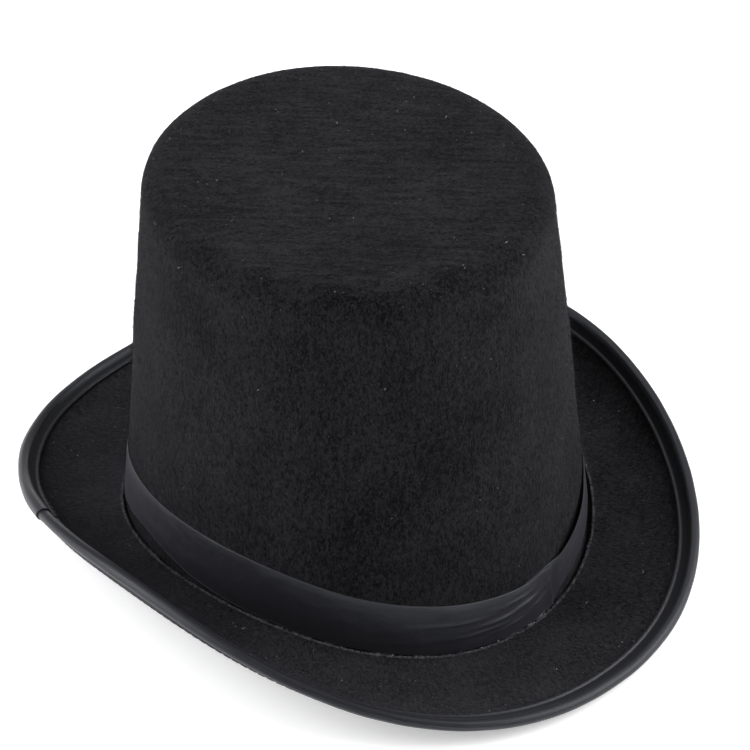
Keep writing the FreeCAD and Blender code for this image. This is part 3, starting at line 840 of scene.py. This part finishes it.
def sweatband():
    """Ribbed tape round the inside of the foot, flat on the wall and lapped at the back."""
    angle = np.linspace(SWEATBAND_JOINT, SWEATBAND_JOINT + 360 + SWEATBAND_LAP, 620)[:, None]
    share = np.linspace(0, 1, 24)[None, :]
    layer = lap_layer(angle, SWEATBAND_JOINT) * (SWEATBAND_TAPE + 0.2)
    rise = FLANGE_TOP - FLANGE_FELT + SWEATBAND_RISE + SWEATBAND_WIDTH * share
    depth = CROWN_FELT + 0.1 + SWEATBAND_TAPE / 2 + layer
    points = in_space(angle + 0 * share, *wall(angle, rise, depth))
    uv = np.stack(np.broadcast_arrays(angle * 1.6 * MM, share * SWEATBAND_WIDTH * MM), axis=-1)
    piece = skin("sweatband_ribbon", points, uv, sweatband_cloth, from_axis)
    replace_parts(piece, "sweatband")
    return thicken(piece, SWEATBAND_TAPE)


# ---- camera, floor and light ----

VIEW_TURN, VIEW_LIFT, VIEW_ROLL = 137.8, 38.71, -1.66
VIEW_DISTANCE = 2.053
VIEW_LENS = 241.7
AIM_HEIGHT = LIP_LEVEL * MM + 0.058
AIM_RIGHT, AIM_UP = 0.00913, 0.00389


def camera():
    """A long lens from behind the hat's left, aimed beside the hat's middle."""
    turn, lift, roll = (math.radians(a) for a in (VIEW_TURN, VIEW_LIFT, VIEW_ROLL))
    back = Vector((math.sin(turn) * math.cos(lift), -math.cos(turn) * math.cos(lift), math.sin(lift)))
    level = Vector((math.cos(turn), math.sin(turn), 0))
    upright = back.cross(level)
    right = level * math.cos(roll) + upright * math.sin(roll)
    middle = Vector((0, 0, AIM_HEIGHT))
    place = middle + back * VIEW_DISTANCE
    above = back.cross(right)
    aim = middle + right * AIM_RIGHT + above * AIM_UP
    back = (place - aim).normalized()
    right = (right - back * right.dot(back)).normalized()
    above = back.cross(right)
    data = bpy.data.cameras.new("camera")
    data.lens, data.sensor_width = VIEW_LENS, 36.0
    data.clip_start, data.clip_end = 0.1, 30.0
    seat = bpy.data.objects.new("camera", data)
    bpy.context.scene.collection.objects.link(seat)
    turn_matrix = Matrix((right, above, back)).transposed()
    seat.matrix_world = Matrix.Translation(place) @ turn_matrix.to_4x4()
    bpy.context.scene.camera = seat


def lamp(name, turn, lift, distance, size, power, tint=(1, 1, 1)):
    """A square soft light at a direction from the hat, turned to face it."""
    a, e = math.radians(turn), math.radians(lift)
    back = Vector((math.sin(a) * math.cos(e), -math.cos(a) * math.cos(e), math.sin(e)))
    data = bpy.data.lights.new(name, "AREA")
    data.shape, data.size, data.size_y = "RECTANGLE", size[0], size[1]
    data.energy, data.color = power, tint
    piece = bpy.data.objects.new(name, data)
    bpy.context.scene.collection.objects.link(piece)
    piece.location = Vector((0, 0, 0.08)) + back * distance
    piece.rotation_mode = "QUATERNION"
    piece.rotation_quaternion = back.to_track_quat("Z", "Y")


def studio():
    world = bpy.data.worlds.new("studio")
    bpy.context.scene.world = world
    world.use_nodes = True
    world.node_tree.nodes["Background"].inputs[0].default_value = (1, 1, 1, 1)
    world.node_tree.nodes["Background"].inputs[1].default_value = 0.35
    mesh = bpy.data.meshes.new("floor")
    mesh.from_pydata([(-8, -8, 0), (8, -8, 0), (8, 8, 0), (-8, 8, 0)], [], [(0, 1, 2, 3)])
    floor = bpy.data.objects.new("floor", mesh)
    paper = Finish("floor_paper", Roughness=0.9, Specular_IOR_Level=0.1, Emission_Strength=0.3)
    paper.shader.inputs["Emission Color"].default_value = (1, 1, 1, 1)
    x, y, z = paper.place()
    tooth = paper.noise(x * 6.0, y * 6.0, 0.0, 2.0, 0.5)
    paper.colour(paper.between(tooth, grey(0.93), grey(0.96)))
    mesh.materials.append(paper.material)
    bpy.context.scene.collection.objects.link(floor)
    lamp("left_softbox", VIEW_TURN - 82, 32, 2.1, (1.9, 2.0), 62, (0.985, 0.985, 1.0))
    lamp("right_softbox", VIEW_TURN + 84, 32, 2.1, (1.9, 2.0), 66, (0.985, 0.985, 1.0))
    lamp("top_softbox", VIEW_TURN + 180, 66, 2.1, (1.6, 1.2), 12)
    bpy.context.scene.view_settings.view_transform = "Standard"
    bpy.context.scene.view_settings.exposure = 0.0


camera()
studio()

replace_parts(crown(), "crown_felt")
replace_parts(brim(), "brim_felt")
crown_fuzz()
brim_fuzz()
lip_fuzz()
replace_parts(glue_specks(), "band_glue")
lint()
band()
binding()
sweatband()

CAD_FINISHES = {
    "foot_glue": glue_cloth,
    "brim_edge_cord": cord_cloth,
    "binding_thread": thread_cloth,
    "sweatband_thread": thread_cloth,
}
for node, cloth in CAD_FINISHES.items():
    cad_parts[node].data.materials.clear()
    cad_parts[node].data.materials.append(cloth)
